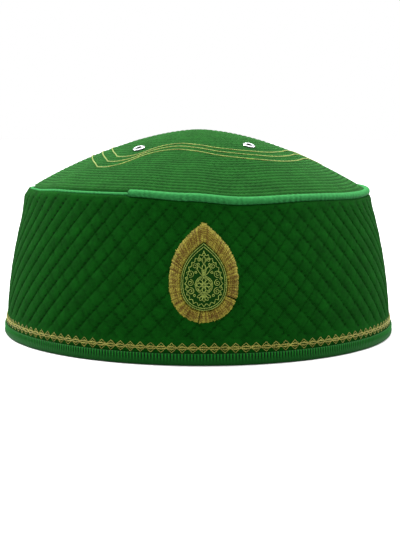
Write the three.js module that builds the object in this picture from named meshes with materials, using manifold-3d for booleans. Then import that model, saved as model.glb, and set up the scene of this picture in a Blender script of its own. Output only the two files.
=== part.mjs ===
// Kufi cap: a stiff cap of quilted cloth. A flared band carries a domed crown, with a cord in the
// seam between them, a bound lower edge, a drop-shaped patch at the front and metal eyelets in
// the crown. Millimetres, +Z up. The origin is the centre of the lower edge, the front faces -Y,
// and azimuths are turned from the front towards +X.

import * as THREE from 'three';
import { mergeVertices } from 'three/addons/utils/BufferGeometryUtils.js';
import Module from 'manifold-3d';

const wasm = await Module();
wasm.setup();

const radians = THREE.MathUtils.degToRad;

// Driving dimensions of the cloth walls
const BASE_RADIUS = 95;
const BAND_TOP_RADIUS = 82.8;
const BAND_HEIGHT = 66.6;
const BAND_WALL = 3;
const CROWN_RISE = 27.2;
const CROWN_WALL = 2.6;
const RIM_WAVE = 2;
const CLEARANCE = 0.3;

// The curves of the side and of the crown, as powers of a height share and a radius share
const BAND_CURVE = 1.9;
const CROWN_CURVE = 1.7;

// Cord and edge binding
const PIPING_DIAMETER = 3.6;
const PIPING_SHOWN = 0.9;
const BINDING_HEIGHT = 5.2;
const BINDING_WALL = 1;
const BINDING_BEVEL = 0.4;

// Front patch: a raised border round a field
const MEDALLION_WIDTH = 29;
const MEDALLION_HEIGHT = 41;
const MEDALLION_LEVEL = 38.6;
const MEDALLION_TURN = radians(1.4);
const BORDER_WIDTH = 4.6;
const BORDER_TIP = 8;
const BORDER_THICKNESS = 1;
const FIELD_THICKNESS = 0.6;

// Eyelets, set by hand on a ring round the top. A row's reach is its share of the ring's radius.
const EYELET_RING_RADIUS = 39;
const EYELET_SEATS = [
  { azimuth: 38.5, reach: 0.95 },
  { azimuth: 138, reach: 1 },
  { azimuth: -138, reach: 1 },
  { azimuth: -42, reach: 1.06 },
];
const EYELET_DIAMETER = 5.8;
const EYELET_BARREL = 3.8;
const EYELET_HOLE = 2.8;
const EYELET_FLANGE = 0.6;

// Fineness of the round shapes
const ROUND_STEPS = 72;
const BAND_STEPS = 9;
const CROWN_STEPS = 11;
const PIPING_SIDES = 8;
const EYELET_SIDES = 14;
const OUTLINE_STEPS = 42;

// The seam's wave round the front half: azimuths in degrees, heights as shares of RIM_WAVE
const WAVE = [
  { azimuth: -180, share: 0 },
  { azimuth: -105, share: 0 },
  { azimuth: -65, share: 0.5 },
  { azimuth: -50, share: 0.95 },
  { azimuth: -20, share: 0.95 },
  { azimuth: -3, share: 0.3 },
  { azimuth: 13, share: -0.5 },
  { azimuth: 35, share: -0.1 },
  { azimuth: 60, share: -0.4 },
  { azimuth: 100, share: 0 },
  { azimuth: 180, share: 0 },
];

// The drop outline of the front patch, as shares of its width and height: each row is a Bezier
// stretch down the right side, mirrored for the left
const DROP = [
  { bendX: 0.14, bendY: 0.41, leadX: 0.5, leadY: 0.27, endX: 0.5, endY: -0.11 },
  { bendX: 0.5, bendY: -0.36, leadX: 0.27, leadY: -0.5, endX: 0, endY: -0.5 },
];

// Rings of the patch's field, as shares of its outline
const FIELD_RINGS = [0.35, 0.7, 1];

// Sizes that follow from the ones above
const BAND_FOOT_RADIUS = BASE_RADIUS - BINDING_WALL - CLEARANCE;
const BAND_BOTTOM = BINDING_WALL + CLEARANCE;
const CROWN_RADIUS = BAND_TOP_RADIUS - BAND_WALL - CLEARANCE;
const CROWN_EDGE = BAND_HEIGHT + CLEARANCE + PIPING_SHOWN * PIPING_DIAMETER;
const PIPING_RADIUS = PIPING_DIAMETER / 2;
const PIPING_RING = CROWN_RADIUS + CLEARANCE + PIPING_RADIUS;
const PIPING_LEVEL = BAND_HEIGHT + CLEARANCE + PIPING_RADIUS;

const CLOTH_GREEN = '#14551f';
const SATIN_GREEN = '#2f9a4f';
const EDGE_GREEN = '#1a6b32';
const GOLD_THREAD = '#c2a24f';
const EYELET_METAL = '#c9ccd0';

function rimWave(azimuth) {
  const turn = THREE.MathUtils.radToDeg(azimuth);
  const degrees = THREE.MathUtils.euclideanModulo(turn + 180, 360) - 180;
  const next = Math.max(1, WAVE.findIndex((row) => row.azimuth >= degrees));
  const from = WAVE[next - 1];
  const to = WAVE[next];
  const along = THREE.MathUtils.smoothstep(degrees, from.azimuth, to.azimuth);
  return RIM_WAVE * THREE.MathUtils.lerp(from.share, to.share, along);
}

// The wave grows from the band's half height to its top, and fades over the crown's outer half
function bandLift(height) {
  return THREE.MathUtils.smoothstep(height, BAND_HEIGHT / 2, BAND_HEIGHT);
}

function crownLift(radius) {
  return THREE.MathUtils.smoothstep(radius, CROWN_RADIUS / 2, CROWN_RADIUS);
}

function bandRadius(height) {
  const share = THREE.MathUtils.inverseLerp(BAND_BOTTOM, BAND_HEIGHT, height);
  const curve = 1 - THREE.MathUtils.clamp(share, 0, 1) ** BAND_CURVE;
  return BAND_TOP_RADIUS + (BAND_FOOT_RADIUS - BAND_TOP_RADIUS) * curve;
}

function crownHeight(radius) {
  return CROWN_EDGE + CROWN_RISE * (1 - (radius / CROWN_RADIUS) ** CROWN_CURVE);
}

function crownSlope(radius) {
  const share = (radius / CROWN_RADIUS) ** (CROWN_CURVE - 1);
  return (CROWN_RISE * CROWN_CURVE * share) / CROWN_RADIUS;
}

// Turns a closed profile of (radius, height) points round +Z. Profiles run up their outer side.
function turned(profile, steps, lift) {
  const points = profile.map(([radius, height]) => new THREE.Vector2(radius, height));
  const geometry = new THREE.LatheGeometry(points, steps);
  geometry.rotateX(Math.PI / 2);
  const position = geometry.attributes.position;
  for (let i = 0; i < position.count; i += 1) {
    const radius = Math.hypot(position.getX(i), position.getY(i));
    const azimuth = Math.atan2(position.getX(i), -position.getY(i));
    const height = position.getZ(i);
    position.setZ(i, height + rimWave(azimuth) * lift(radius, height));
  }
  geometry.computeVertexNormals();
  return geometry;
}

function closed(profile) {
  return [...profile, profile[0]];
}

const still = () => 0;

// Outer wall up from the foot, then the inner wall back down
function bandGeometry() {
  const outer = [];
  for (let i = 0; i <= BAND_STEPS; i += 1) {
    const height = THREE.MathUtils.lerp(BAND_BOTTOM, BAND_HEIGHT, i / BAND_STEPS);
    outer.push([bandRadius(height), height]);
  }
  const inner = outer.map(([radius, height]) => [radius - BAND_WALL, height]).reverse();
  return turned(closed([...outer, ...inner]), ROUND_STEPS, (radius, height) => bandLift(height));
}

// The dome is one wall thick measured square to its slope. Its edge stands on the seam, beside the
// piping and just above the band's top edge.
function crownSolid() {
  const insideEdge = CROWN_RADIUS - CROWN_WALL;
  const edgeBottom = BAND_HEIGHT + CLEARANCE;
  const inner = [];
  const outer = [];
  for (let i = 0; i <= CROWN_STEPS; i += 1) {
    const insideRadius = (insideEdge * i) / CROWN_STEPS;
    const drop = CROWN_WALL * Math.hypot(1, crownSlope(insideRadius));
    inner.push([insideRadius, crownHeight(insideRadius) - drop]);
    const outsideRadius = (CROWN_RADIUS * (CROWN_STEPS - i)) / CROWN_STEPS;
    outer.push([outsideRadius, crownHeight(outsideRadius)]);
  }
  const edge = [
    [insideEdge, edgeBottom],
    [CROWN_RADIUS, edgeBottom],
  ];
  return turned([...inner, ...edge, ...outer], ROUND_STEPS, (radius) => crownLift(radius));
}

function pipingGeometry() {
  const section = [];
  for (let i = 0; i < PIPING_SIDES; i += 1) {
    const angle = (2 * Math.PI * i) / PIPING_SIDES;
    const out = PIPING_RADIUS * Math.cos(angle);
    const up = PIPING_RADIUS * Math.sin(angle);
    section.push([PIPING_RING + out, PIPING_LEVEL + up]);
  }
  return turned(closed(section), ROUND_STEPS, () => 1);
}

// A channel folded round the band's lower edge, flat underneath where the cap stands
function bindingGeometry() {
  const channelOuter = BAND_FOOT_RADIUS + CLEARANCE;
  const channelInner = BAND_FOOT_RADIUS - BAND_WALL - CLEARANCE;
  const insideRadius = channelInner - BINDING_WALL;
  const section = [
    [insideRadius + BINDING_BEVEL, 0],
    [BASE_RADIUS - BINDING_BEVEL, 0],
    [BASE_RADIUS, BINDING_BEVEL],
    [BASE_RADIUS, BINDING_HEIGHT - BINDING_BEVEL],
    [BASE_RADIUS - BINDING_BEVEL, BINDING_HEIGHT],
    [channelOuter, BINDING_HEIGHT],
    [channelOuter, BINDING_WALL],
    [channelInner, BINDING_WALL],
    [channelInner, BINDING_HEIGHT],
    [insideRadius + BINDING_BEVEL, BINDING_HEIGHT],
    [insideRadius, BINDING_HEIGHT - BINDING_BEVEL],
    [insideRadius, BINDING_BEVEL],
  ];
  return turned(closed(section), ROUND_STEPS, still);
}

// A place on the band's outer face: across and up from the patch's middle, and out from the cloth
function onBand(across, up, out) {
  const height = MEDALLION_LEVEL + up;
  const radius = bandRadius(height);
  const azimuth = MEDALLION_TURN + across / radius;
  const lean = bandRadius(height - 0.5) - bandRadius(height + 0.5);
  const square = Math.hypot(1, lean);
  const away = radius + out / square;
  const level = height + (out * lean) / square + rimWave(azimuth) * bandLift(height);
  return new THREE.Vector3(away * Math.sin(azimuth), -away * Math.cos(azimuth), level);
}

// The drop outline, clockwise from its tip as seen from the front
function dropOutline(width, height, middle) {
  const shape = new THREE.Shape();
  shape.moveTo(0, middle + height / 2);
  for (const row of DROP) {
    const bend = [width * row.bendX, middle + height * row.bendY];
    const lead = [width * row.leadX, middle + height * row.leadY];
    shape.bezierCurveTo(...bend, ...lead, width * row.endX, middle + height * row.endY);
  }
  for (let i = DROP.length - 1; i >= 0; i -= 1) {
    const row = DROP[i];
    const bend = [-width * row.leadX, middle + height * row.leadY];
    const lead = [-width * row.bendX, middle + height * row.bendY];
    const end = i > 0 ? [-width * DROP[i - 1].endX, DROP[i - 1].endY] : [0, 0.5];
    shape.bezierCurveTo(...bend, ...lead, end[0], middle + height * end[1]);
  }
  return shape.getSpacedPoints(OUTLINE_STEPS).slice(0, -1);
}

// The outline of the border's inner edge, or of the field, which is a clearance smaller
function innerOutline(clearance) {
  const width = MEDALLION_WIDTH - 2 * (BORDER_WIDTH + clearance);
  const height = MEDALLION_HEIGHT - BORDER_TIP - BORDER_WIDTH - 2 * clearance;
  return dropOutline(width, height, (BORDER_WIDTH - BORDER_TIP) / 2);
}

// A closed skin over loops of points that all run clockwise as seen from the front. Joined loops
// make a ring, and otherwise a fan closes the first loop and the last.
function skin(loops, joined) {
  const count = loops[0].length;
  const points = loops.flat();
  const index = [];
  const last = joined ? loops.length : loops.length - 1;
  for (let j = 0; j < last; j += 1) {
    const near = j * count;
    const far = ((j + 1) % loops.length) * count;
    for (let i = 0; i < count; i += 1) {
      const next = (i + 1) % count;
      index.push(near + i, far + i, near + next);
      index.push(far + i, far + next, near + next);
    }
  }
  if (!joined) {
    const end = (loops.length - 1) * count;
    const back = points.push(middleOf(loops[0])) - 1;
    const front = points.push(middleOf(loops[loops.length - 1])) - 1;
    for (let i = 0; i < count; i += 1) {
      const next = (i + 1) % count;
      index.push(back, i, next);
      index.push(front, end + next, end + i);
    }
  }
  const geometry = new THREE.BufferGeometry().setFromPoints(points);
  geometry.setIndex(index);
  geometry.computeVertexNormals();
  return geometry;
}

function middleOf(loop) {
  const sum = loop.reduce((total, point) => total.add(point), new THREE.Vector3());
  return sum.divideScalar(loop.length);
}

function borderGeometry() {
  const outer = dropOutline(MEDALLION_WIDTH, MEDALLION_HEIGHT, 0);
  const inner = innerOutline(0);
  const front = CLEARANCE + BORDER_THICKNESS;
  const loop = (outline, out) => outline.map((point) => onBand(point.x, point.y, out));
  const loops = [
    loop(outer, CLEARANCE),
    loop(outer, front),
    loop(inner, front),
    loop(inner, CLEARANCE),
  ];
  return skin(loops, true);
}

function fieldGeometry() {
  const outline = innerOutline(CLEARANCE);
  const middle = (BORDER_WIDTH - BORDER_TIP) / 2;
  const loop = (share, out) => outline.map((point) => {
    return onBand(point.x * share, middle + (point.y - middle) * share, out);
  });
  const back = FIELD_RINGS.map((share) => loop(share, CLEARANCE));
  const front = FIELD_RINGS.map((share) => loop(share, CLEARANCE + FIELD_THICKNESS));
  return skin([...back, ...front.reverse()], false);
}

// Where an eyelet sits on the crown's outer face, and the way that face looks there
function eyeletSeat(row) {
  const azimuth = radians(row.azimuth);
  const radius = EYELET_RING_RADIUS * row.reach;
  const outward = new THREE.Vector3(Math.sin(azimuth), -Math.cos(azimuth), 0);
  const point = outward.clone().multiplyScalar(radius);
  point.z = crownHeight(radius) + rimWave(azimuth) * crownLift(radius);
  const normal = outward.clone().multiplyScalar(crownSlope(radius));
  normal.z = 1;
  normal.normalize();
  const turn = new THREE.Quaternion().setFromUnitVectors(new THREE.Vector3(0, 0, 1), normal);
  return { point, turn };
}

// A flanged tube through the crown's wall. Its height is measured from the crown's outer face.
function eyeletGeometry() {
  const hole = EYELET_HOLE / 2;
  const barrel = EYELET_BARREL / 2;
  const rim = EYELET_DIAMETER / 2;
  const shoulder = (barrel + rim) / 2;
  const inside = -CROWN_WALL - CLEARANCE;
  const outside = CLEARANCE + EYELET_FLANGE;
  const profile = [
    [hole, inside - EYELET_FLANGE],
    [rim, inside - EYELET_FLANGE],
    [rim, inside],
    [barrel, inside],
    [barrel, CLEARANCE],
    [rim, CLEARANCE],
    [rim, CLEARANCE + EYELET_FLANGE / 2],
    [shoulder, outside],
    [hole + EYELET_FLANGE / 2, outside],
    [hole, CLEARANCE + EYELET_FLANGE / 2],
  ];
  return turned(closed(profile), EYELET_SIDES, still);
}

// A solid for cutting, with only its corner positions and no triangle that has lost its area
function cuttable(geometry) {
  const bare = geometry.clone();
  bare.deleteAttribute('normal');
  bare.deleteAttribute('uv');
  const merged = mergeVertices(bare, 1e-4);
  const corners = merged.index.array;
  const triangles = [];
  for (let i = 0; i < corners.length; i += 3) {
    const [a, b, c] = corners.slice(i, i + 3);
    if (a !== b && b !== c && c !== a) {
      triangles.push(a, b, c);
    }
  }
  const vertProperties = Float32Array.from(merged.attributes.position.array);
  const triVerts = Uint32Array.from(triangles);
  return new wasm.Manifold(new wasm.Mesh({ numProp: 3, vertProperties, triVerts }));
}

function fromSolid(solid) {
  const mesh = solid.getMesh();
  const geometry = new THREE.BufferGeometry();
  geometry.setAttribute('position', new THREE.BufferAttribute(mesh.vertProperties, 3));
  geometry.setIndex(new THREE.BufferAttribute(mesh.triVerts, 1));
  geometry.computeVertexNormals();
  return geometry;
}

function crownGeometry() {
  let crown = cuttable(crownSolid());
  for (const row of EYELET_SEATS) {
    const seat = eyeletSeat(row);
    const radius = EYELET_BARREL / 2 + CLEARANCE;
    const drill = new THREE.CylinderGeometry(radius, radius, 4 * CROWN_WALL, EYELET_SIDES);
    drill.rotateX(Math.PI / 2);
    drill.applyQuaternion(seat.turn);
    drill.translate(seat.point.x, seat.point.y, seat.point.z);
    crown = crown.subtract(cuttable(drill));
  }
  return fromSolid(crown);
}

function piece(name, geometry, color, roughness, metalness) {
  const material = new THREE.MeshStandardMaterial({ color, roughness, metalness });
  const mesh = new THREE.Mesh(geometry, material);
  mesh.name = name;
  return mesh;
}

const cap = new THREE.Group();
cap.name = 'kufi_cap';
cap.add(piece('band', bandGeometry(), CLOTH_GREEN, 0.9, 0));
cap.add(piece('crown', crownGeometry(), CLOTH_GREEN, 0.9, 0));
cap.add(piece('piping', pipingGeometry(), SATIN_GREEN, 0.4, 0));
cap.add(piece('rim_binding', bindingGeometry(), EDGE_GREEN, 0.7, 0));
cap.add(piece('medallion_border', borderGeometry(), GOLD_THREAD, 0.5, 0));
cap.add(piece('medallion_field', fieldGeometry(), CLOTH_GREEN, 0.9, 0));

EYELET_SEATS.forEach((row, index) => {
  const seat = eyeletSeat(row);
  const eyelet = piece(`eyelet_${index + 1}`, eyeletGeometry(), EYELET_METAL, 0.3, 1);
  eyelet.position.copy(seat.point);
  eyelet.quaternion.copy(seat.turn);
  cap.add(eyelet);
});

export default cap;
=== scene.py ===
# %% [markdown]
# A kufi is a stiff brimless cap. This one is quilted cloth: a flared band with diamond quilting, a
# domed crown stitched in rings, a satin cord in the seam between them and a ribbed tape folded
# round the lower edge. Gold embroidery and four eyelets finish it.
# The construction model holds each piece at its real size as a plain solid. Bump maps alone could
# dress it, but quilting is a real relief that shows at every edge, so this lesson models the cloth,
# the cord and the threads as meshes over those solids.

# %% Load the fixed frame and keep its size
import math

import bpy
import numpy as np
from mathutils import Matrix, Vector


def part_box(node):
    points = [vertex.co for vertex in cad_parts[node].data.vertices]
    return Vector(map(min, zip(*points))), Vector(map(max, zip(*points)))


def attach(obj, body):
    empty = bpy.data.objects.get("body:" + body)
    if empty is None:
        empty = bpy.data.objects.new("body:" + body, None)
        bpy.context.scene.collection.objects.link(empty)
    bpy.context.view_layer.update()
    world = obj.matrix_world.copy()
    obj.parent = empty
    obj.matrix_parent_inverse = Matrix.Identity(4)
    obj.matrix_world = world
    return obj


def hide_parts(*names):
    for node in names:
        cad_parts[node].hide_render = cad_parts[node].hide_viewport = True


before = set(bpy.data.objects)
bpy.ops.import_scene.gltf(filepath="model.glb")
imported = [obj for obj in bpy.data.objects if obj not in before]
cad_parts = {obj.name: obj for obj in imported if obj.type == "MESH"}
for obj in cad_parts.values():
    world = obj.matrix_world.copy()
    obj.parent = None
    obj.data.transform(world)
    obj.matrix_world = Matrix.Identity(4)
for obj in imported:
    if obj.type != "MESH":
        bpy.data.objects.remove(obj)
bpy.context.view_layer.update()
print("nodes:", sorted(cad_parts))

# %% [markdown]
# The cap is round, so each place on it is an azimuth, turned from the front (-Y) towards +X, and a
# height or a radius. The whole sizes come from the frame. The side curves inwards as a power of
# the height, and the crown falls away as a power of the radius. As both are functions, rather than
# samples of the solids, every later piece can lie exactly on the cloth.

# %% Sizes and the two cloth surfaces
MM = 0.001
BAND_WALL = 3 * MM
CROWN_WALL = 2.6 * MM
CLEARANCE = 0.3 * MM
PIPING_RADIUS = 1.8 * MM
BAND_HEIGHT = 66.6 * MM
BAND_CURVE = 1.9
CROWN_CURVE = 1.7
RIM_WAVE = 2 * MM

BASE_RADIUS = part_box("rim_binding")[1].x
BINDING_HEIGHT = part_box("rim_binding")[1].z
FOOT_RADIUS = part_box("band")[1].x
BAND_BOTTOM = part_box("band")[0].z
CROWN_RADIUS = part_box("crown")[1].x
BAND_TOP_RADIUS = CROWN_RADIUS + CLEARANCE + BAND_WALL
CROWN_EDGE = BAND_HEIGHT + CLEARANCE + 1.8 * PIPING_RADIUS
CROWN_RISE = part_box("crown")[1].z - CROWN_EDGE

# The seam's wave round the front half: azimuth in degrees, and height as a share of RIM_WAVE
WAVE_AZIMUTHS = np.array([-180, -105, -65, -50, -20, -3, 13, 35, 60, 100, 180])
WAVE_SHARES = np.array([0, 0, 0.5, 0.95, 0.95, 0.3, -0.5, -0.1, -0.4, 0, 0])


def ease(value, low, high):
    """0 below low, 1 above high, and a soft step between them."""
    share = np.clip((value - low) / (high - low), 0, 1)
    return share * share * (3 - 2 * share)


def rim_wave(azimuth):
    degrees = (np.degrees(azimuth) + 180) % 360 - 180
    row = np.clip(np.searchsorted(WAVE_AZIMUTHS, degrees), 1, len(WAVE_AZIMUTHS) - 1)
    step = ease(degrees, WAVE_AZIMUTHS[row - 1], WAVE_AZIMUTHS[row])
    share = WAVE_SHARES[row - 1] + (WAVE_SHARES[row] - WAVE_SHARES[row - 1]) * step
    return RIM_WAVE * share


def band_radius(height):
    share = np.clip((height - BAND_BOTTOM) / (BAND_HEIGHT - BAND_BOTTOM), 0, 1)
    return BAND_TOP_RADIUS + (FOOT_RADIUS - BAND_TOP_RADIUS) * (1 - share ** BAND_CURVE)


def crown_height(radius):
    return CROWN_EDGE + CROWN_RISE * (1 - (radius / CROWN_RADIUS) ** CROWN_CURVE)


def crown_slope(radius):
    share = (radius / CROWN_RADIUS) ** (CROWN_CURVE - 1)
    return CROWN_RISE * CROWN_CURVE * share / CROWN_RADIUS


def on_round(azimuth, radius, height):
    azimuth, radius, height = np.broadcast_arrays(azimuth, radius, height)
    return np.stack([radius * np.sin(azimuth), -radius * np.cos(azimuth), height], -1)


def on_band(azimuth, height, out):
    """A place on the band's outer face, moved out from the cloth, and the way out."""
    lean = (band_radius(height - 0.5 * MM) - band_radius(height + 0.5 * MM)) / MM
    square = np.hypot(1, lean)
    lift = rim_wave(azimuth) * ease(height, BAND_HEIGHT / 2, BAND_HEIGHT)
    place = on_round(azimuth, band_radius(height) + out / square, height + out * lean / square + lift)
    return place, on_round(azimuth, 1 / square, lean / square)


def on_crown(azimuth, radius, out=0.0):
    """The same for the crown, by radius."""
    slope = crown_slope(radius)
    square = np.hypot(1, slope)
    lift = rim_wave(azimuth) * ease(radius, CROWN_RADIUS / 2, CROWN_RADIUS)
    height = crown_height(radius) + out / square + lift
    place = on_round(azimuth, radius + out * slope / square, height)
    return place, on_round(azimuth, slope / square, 1 / square)


print("band radius top and foot in mm:", BAND_TOP_RADIUS / MM, FOOT_RADIUS / MM)

# %% [markdown]
# Almost everything here is a grid of points bent into shape. Modifiers could array and bend small
# pieces, but the diamonds have to meet exactly round the cap, so numpy works the grids out. One
# helper turns a grid into a mesh, with a map in metres for the weave and values at its points,
# such as how deep in a groove each lies. Another sweeps a section along many paths at once.

# %% Helpers: grid meshes and swept strands
rng = np.random.default_rng(57)


def add_object(name, data):
    made = bpy.data.objects.new(name, data)
    bpy.context.scene.collection.objects.link(made)
    return made


def add_mesh(name, points, faces, uvs, material, values):
    """A smooth mesh piece. uvs has one row per corner of each face."""
    mesh = bpy.data.meshes.new(name)
    mesh.from_pydata(points.reshape(-1, 3).tolist(), [], faces.tolist())
    layer = mesh.uv_layers.new(name="metres")
    layer.data.foreach_set("uv", np.asarray(uvs, np.float32).ravel())
    for key, value in values.items():
        attribute = mesh.attributes.new(key, "FLOAT", "POINT")
        attribute.data.foreach_set("value", np.asarray(value, np.float32).ravel())
    mesh.materials.append(material)
    mesh.shade_smooth()
    mesh.update()
    return add_object(name, mesh)


def corners_of(grid):
    """The four corners of each face between neighbours along a grid's last two axes."""
    rows, columns = grid.shape[-2:]
    steps = ((0, 0), (0, 1), (1, 1), (1, 0))
    return np.stack([grid[..., r:rows - 1 + r, c:columns - 1 + c] for r, c in steps], -1).reshape(-1, 4)


def grid_piece(name, points, across, along, material, values, keep=None):
    """A grid of rows and columns closed round the cap. across and along are its map in metres,
    with one column more than the points, so that the map doesn't run backwards at the join."""
    index = np.arange(points.size // 3).reshape(points.shape[:2])
    faces = corners_of(np.append(index, index[:, :1], 1))
    uvs = np.stack([corners_of(side) for side in np.broadcast_arrays(across, along)], -1)
    if keep is not None:
        kept = keep(points.reshape(-1, 3)[faces].mean(1))
        faces, uvs = faces[kept], uvs[kept]
    return add_mesh(name, points, faces, uvs, material, values)


def unit(vectors):
    return vectors / np.maximum(np.linalg.norm(vectors, axis=-1, keepdims=True), 1e-12)


# Half a thread's section, as shares of its radius to the side and out from the cloth
HALF_ROUND = [(-1, 0), (-0.6, 0.8), (0.6, 0.8), (1, 0)]


def strands(name, paths, outs, radius, material, loop=False, values=None):
    """Sweeps the half section along paths of equal length. paths and outs are (path, point, 3)."""
    count, length = paths.shape[:2]
    radius = np.broadcast_to(radius, (count, length))[..., None]
    if loop:
        tangent = unit(np.roll(paths, -1, 1) - np.roll(paths, 1, 1))
    else:
        tangent = unit(np.gradient(paths, axis=1))
    side = unit(np.cross(tangent, outs))
    out = np.cross(side, tangent)
    points = np.stack([paths + radius * (across * side + up * out) for across, up in HALF_ROUND], 2)
    sides = len(HALF_ROUND)
    index = np.arange(points.size // 3).reshape(count, length, sides)
    step = np.linalg.norm(np.diff(paths, axis=1), axis=-1)
    far = np.cumsum(np.append(np.zeros((count, 1)), step, 1), 1)
    if loop:
        index = np.append(index, index[:, :1], 1)
        far = np.append(far, far[:, -1:] + step[:, :1], 1)
    wide = 2 * float(radius.mean()) / (sides - 1)
    sheet = np.broadcast_arrays(far[..., None], wide * np.arange(sides))
    uvs = np.stack([corners_of(side) for side in sheet], -1)
    given = {key: np.repeat(np.ravel(value), sides) for key, value in (values or {}).items()}
    return add_mesh(name, points, corners_of(index), uvs, material, given)


def dress(piece, slot, *nodes):
    """A finished piece moves with the cap and stands for its solids. slot is not used."""
    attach(piece, "root")
    if nodes:
        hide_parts(*nodes)
    sizes = [round(side / MM, 1) for side in piece.dimensions]
    print(piece.name, "mm:", sizes, "faces:", len(piece.data.polygons))


def wobble(azimuth, height, seed, reach=40 * MM):
    """A smooth uneven value from -1 to 1 that closes on itself round the cap."""
    chance = np.random.default_rng(seed)
    total = 0
    for turns in (3, 5, 8, 13, 21):
        phase, rise = chance.uniform(0, math.tau, 2)
        total = total + np.sin(turns * azimuth + phase + height / reach * math.cos(rise) * 3)
    return total / 5


# %% [markdown]
# Every finish is a small node network. One function adds a node with its settings and links, so a
# network reads as a list of steps. Colours are given as a paint shop gives them, in sRGB hex, and
# another function turns them to the linear values that light needs.

# %% Helpers: colours and nodes
def linear(code):
    shares = [int(code[place:place + 2], 16) / 255 for place in (1, 3, 5)]
    return [s / 12.92 if s <= 0.04045 else ((s + 0.055) / 1.055) ** 2.4 for s in shares] + [1.0]


def plug(made, inputs):
    """Sets or links a node's inputs. A node among the values stands for its first output."""
    for key, value in inputs.items():
        if isinstance(value, bpy.types.Node):
            value = value.outputs[0]
        if isinstance(value, bpy.types.NodeSocket):
            made.id_data.links.new(value, made.inputs[key])
        else:
            made.inputs[key].default_value = value


def node(tree, kind, inputs=None, operation=None, **settings):
    made = tree.nodes.new("ShaderNode" + kind)
    if operation:
        made.operation = operation
    for key, value in settings.items():
        setattr(made, key, value)
    plug(made, inputs or {})
    return made


def new_finish(name):
    material = bpy.data.materials.new(name)
    material.use_nodes = True
    tree = material.node_tree
    return material, tree, tree.nodes["Principled BSDF"]


# %% [markdown]
# The cloth is a brushed polyester over a stiff filling. It is matt, and its short nap catches light
# at a glance, which sheen gives. The dye sits inside the fibres, so almost nothing comes back
# white, and the specular level is close to none. The weave's threads are about 0.35 mm apart,
# finer than a picture of the whole cap can show, so they are drawn 0.9 mm apart and faint. The
# nap is mottled, and the stitched grooves are darker, because little light reaches into them.
# Each groove's depth is kept at the mesh's points, so the shade follows the real relief. The
# needle holes are smaller than the mesh's faces, so the material paints them as dark dashes:
# painted shade for the holes and for the shadow under each stitch.

# %% Cloth: brushed polyester
WEAVE_DRAWN = 0.9 * MM
NAP_PATCH = 7 * MM
DIAMONDS = 70
DIAMOND_WIDTH = math.tau * FOOT_RADIUS / DIAMONDS
DIAMOND_HEIGHT = 8.8 * MM
DIAMOND_STITCHES = 5
QUILT_BOTTOM = 10.6 * MM
HOLE_SHAKE_PATCH = 2.6 * MM
HOLE_SHAKE = 0.12


def needle_hole_shade(tree, metres):
    """How much painted shade the needle holes give each place, for the holes and the shadow under
    each stitch: short level dashes, one to a stitch, climb along each line like stairs. rising and
    falling say how deep each set of lines is."""
    stitches = (1 / DIAMOND_WIDTH, DIAMOND_STITCHES / DIAMOND_HEIGHT, 1)
    pattern = node(tree, "VectorMath", {0: metres, 1: stitches}, "MULTIPLY")
    axes = node(tree, "SeparateXYZ", {0: pattern})
    shake = node(tree, "TexNoise", {"Vector": metres, "Scale": 1 / HOLE_SHAKE_PATCH, "Detail": 2.0})
    either_way = node(tree, "Math", {0: shake, 1: 0.5}, "SUBTRACT")
    shaken = node(tree, "Math", {0: either_way, 1: HOLE_SHAKE, 2: axes.outputs["X"]}, "MULTIPLY_ADD")
    sets = []
    for attribute, lean, phase in (("rising", -1, 0.0), ("falling", 1, 0.5)):
        up = node(tree, "Math", {0: axes.outputs["Y"], 1: phase}, "ADD")
        stair = node(tree, "Math", {0: up}, "ROUND")
        off_stair = node(tree, "Math", {0: up, 1: 0.5}, "PINGPONG")
        level = node(tree, "Math", {0: stair, 1: phase}, "SUBTRACT")
        line = node(tree, "Math", {0: level, 1: lean / DIAMOND_STITCHES, 2: shaken}, "MULTIPLY_ADD")
        off_line = node(tree, "Math", {0: line, 1: 0.5}, "PINGPONG")
        dash = node(tree, "MapRange",
                    {"Value": off_line, "From Min": 0.07, "From Max": 0.12, "To Min": 1.0, "To Max": 0.0})
        row = node(tree, "MapRange",
                   {"Value": off_stair, "From Min": 0.14, "From Max": 0.28, "To Min": 1.0, "To Max": 0.0})
        deep = node(tree, "Attribute", attribute_name=attribute)
        hole = node(tree, "Math", {0: dash, 1: row}, "MULTIPLY")
        sets.append(node(tree, "Math", {0: hole, 1: deep.outputs["Fac"]}, "MULTIPLY"))
    either = node(tree, "Math", {0: sets[0], 1: sets[1]}, "MAXIMUM")
    patchy = node(tree, "MapRange",
                  {"Value": shake, "From Min": 0.38, "From Max": 0.58, "To Min": 0.25, "To Max": 1.0})
    return node(tree, "Math", {0: either, 1: patchy}, "MULTIPLY")


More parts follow.
